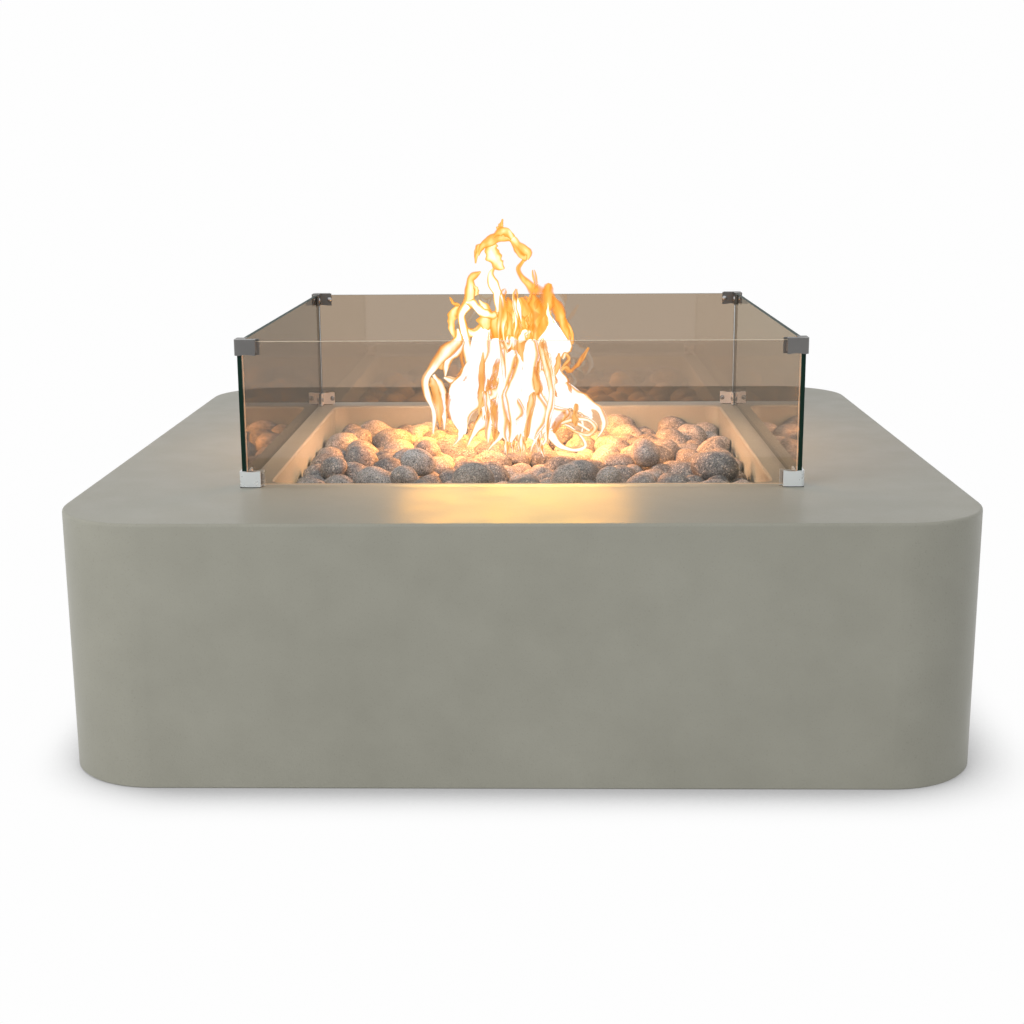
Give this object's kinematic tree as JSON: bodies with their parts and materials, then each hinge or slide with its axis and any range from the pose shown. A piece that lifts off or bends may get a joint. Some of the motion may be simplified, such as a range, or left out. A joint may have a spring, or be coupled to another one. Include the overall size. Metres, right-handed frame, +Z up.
{
  "type": "gas fire pit table",
  "caption": "Low square concrete gas fire table with rounded corners, a recessed burner bed of loose stones, a clipped glass wind guard and rear controls.",
  "frame": {"origin": "middle of the footprint, on the floor", "axes": "+X right, +Y towards the back wall with the controls, +Z up"},
  "size_m": [1.2192, 1.2192, 0.7149],
  "materials": {
    "concrete": "matte cast concrete, faint mottling",
    "stainless": "stainless sheet and tube, heat-dulled",
    "lava_rock": "porous volcanic stone, matte",
    "black_pipe": "black malleable pipe",
    "zinc_steel": "zinc-plated steel",
    "brass": "forged and turned brass",
    "aluminium_tube": "drawn tube",
    "panel_steel": "matte black powder coat",
    "rubber_seal": "moulded nitrile",
    "spring_steel": "bright spring steel",
    "black_plastic": "matte heat-resistant moulding",
    "ceramic": "white technical ceramic",
    "copper_tube": "copper capillary",
    "lead_sleeve": "silicone insulation",
    "glass": "clear tempered glass, greenish edges",
    "clip_metal": "satin anodised",
    "clear_rubber": "translucent channel gasket",
    "foot_rubber": "thin foot pad",
    "flame": "glowing gas, stands in for the flame"
  },
  "bodies": {
    "table": {"concrete_shell": "concrete", "burner_pan": "stainless", "burner": "stainless", "burner_legs": "stainless", "lava_rock_fill": "lava_rock", "stone_bed": "lava_rock", "burner_nipple": "black_pipe", "burner_locknut": "zinc_steel", "air_mixer": "zinc_steel", "gas_orifice": "brass", "burner_elbow": "brass", "gas_line": "aluminium_tube", "line_nuts": "brass", "inlet_nipple": "brass", "control_panel": "panel_steel", "valve_body": "brass", "valve_nut": "zinc_steel", "valve_spring": "spring_steel", "igniter_body": "black_plastic", "igniter_nut": "zinc_steel", "button_spring": "spring_steel", "pilot_plate": "stainless", "pilot_cage": "stainless", "electrode_ceramic": "ceramic", "electrode_tip": "spring_steel", "thermocouple": "copper_tube", "ignition_lead": "lead_sleeve", "thermocouple_lead": "copper_tube", "vent_left": "panel_steel", "vent_right": "panel_steel", "flame": "flame"},
    "plunger": {"valve_plunger": "rubber_seal"},
    "knob": {"valve_stem": "spring_steel", "control_knob": "black_plastic"},
    "button": {"ignition_button": "black_plastic"},
    "wind_guard": {"glass_left": "glass", "glass_right": "glass", "glass_front": "glass", "glass_back": "glass", "clips_bottom": "clip_metal", "clips_top": "clip_metal", "liners_bottom": "clear_rubber", "liners_top": "clear_rubber", "guard_feet": "foot_rubber"}
  },
  "joints": [
    {"name": "knob_push", "type": "slide", "parent": "table", "child": "plunger", "axis": [0, -1, 0], "range_m": [0, 0.004], "stiffness_N_per_m": 600, "springref_m": -0.006, "deforming": ["valve_spring"]},
    {"name": "knob_turn", "type": "hinge", "parent": "plunger", "child": "knob", "pos_m": [0, 0.58, 0.16], "axis": [0, -1, 0], "range_deg": [0, 90], "deforming": ["flame"]},
    {"name": "ignition_press", "type": "slide", "parent": "table", "child": "button", "axis": [0, -1, 0], "range_m": [0, 0.004], "stiffness_N_per_m": 600, "springref_m": -0.006, "deforming": ["button_spring"]},
    {"name": "guard_lift", "type": "slide", "parent": "table", "child": "wind_guard", "axis": [0, 0, 1], "range_m": [0, 0.4]}
  ]
}
